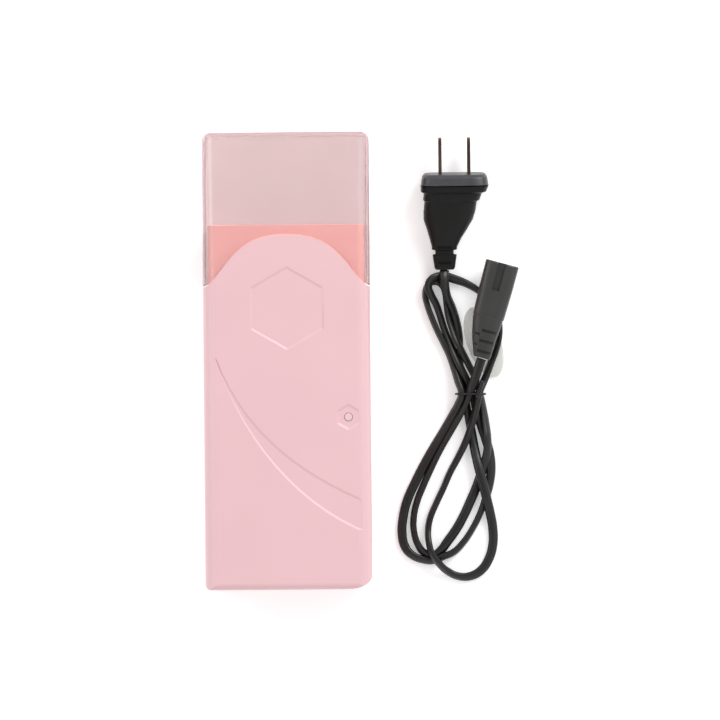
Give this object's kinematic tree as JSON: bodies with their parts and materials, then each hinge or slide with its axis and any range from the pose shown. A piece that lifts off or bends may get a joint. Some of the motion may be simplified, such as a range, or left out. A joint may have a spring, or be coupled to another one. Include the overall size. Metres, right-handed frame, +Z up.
{
  "type": "roll-on wax cartridge heater",
  "caption": "Hand-held heater for roll-on wax cartridges with arched translucent slip-on cover, sunk hexagon panel and a detached folded mains lead.",
  "frame": {"origin": "middle of the heater's rear face, on the surface it lies on", "axes": "+Y along the heater towards its cover, +X towards the lead beside it, +Z up out of its front face"},
  "size_m": [0.1394, 0.2014, 0.047],
  "materials": {
    "shell_pink": "fine satin",
    "collar_coral": "fine satin",
    "cover_pink": "clear tinted, polished",
    "well_aluminium": "drawn, satin",
    "plate_aluminium": "milled",
    "element_ceramic": "fired ceramic in insulating film",
    "steel": "zinc plated",
    "fuse_white": "glazed",
    "board_green": "solder mask",
    "lamp_red": "clear epoxy",
    "lens_clear": "polished",
    "resistor_tan": "lacquered",
    "wire_red": "silicone sleeve",
    "wire_blue": "silicone sleeve",
    "inlet_black": "moulded",
    "brass": "tumbled",
    "blade_bronze": "dull, tinted by age",
    "lead_black": "soft PVC, satin",
    "connector_grey": "soft PVC, satin",
    "plug_face_grey": "hard moulded",
    "cord_black": "soft PVC, satin",
    "tie_black": "plastic-coated wire",
    "tag_frosted": "frosted film"
  },
  "bodies": {
    "heater_body": {"front_shell": "shell_pink", "rear_shell": "shell_pink", "neck_collar": "collar_coral", "cartridge_well": "well_aluminium", "heater_plate": "plate_aluminium", "ptc_element": "element_ceramic", "heater_clip": "steel", "thermostat": "steel", "thermal_fuse": "fuse_white", "indicator_board": "board_green", "indicator_lamp": "lamp_red", "indicator_lens": "lens_clear", "dropper_resistor": "resistor_tan", "mains_inlet": "inlet_black", "inlet_pin_left": "brass", "inlet_pin_right": "brass", "case_screw_1": "steel", "case_screw_2": "steel", "case_screw_3": "steel", "case_screw_4": "steel", "wire_live": "wire_red", "wire_thermostat_to_fuse": "wire_red", "wire_fuse_to_element": "wire_red", "wire_lamp_live": "wire_red", "wire_neutral": "wire_blue", "wire_lamp_neutral": "wire_blue"},
    "cover": {"cover": "cover_pink"},
    "mains_lead": {"plug_body": "lead_black", "plug_face": "plug_face_grey", "plug_blade_left": "blade_bronze", "plug_blade_right": "blade_bronze", "connector_body": "connector_grey", "connector_contact_left": "brass", "connector_contact_right": "brass", "cord": "cord_black", "cord_tie": "tie_black", "cord_tag": "tag_frosted"}
  },
  "joints": [
    {"name": "cover_pull", "type": "slide", "parent": "heater_body", "child": "cover", "axis": [0, 1, 0], "range_m": [0, 0.08]},
    {"name": "lead_lift", "type": "slide", "parent": "heater_body", "child": "mains_lead", "axis": [0, 0, 1], "range_m": [0, 0.12]}
  ]
}
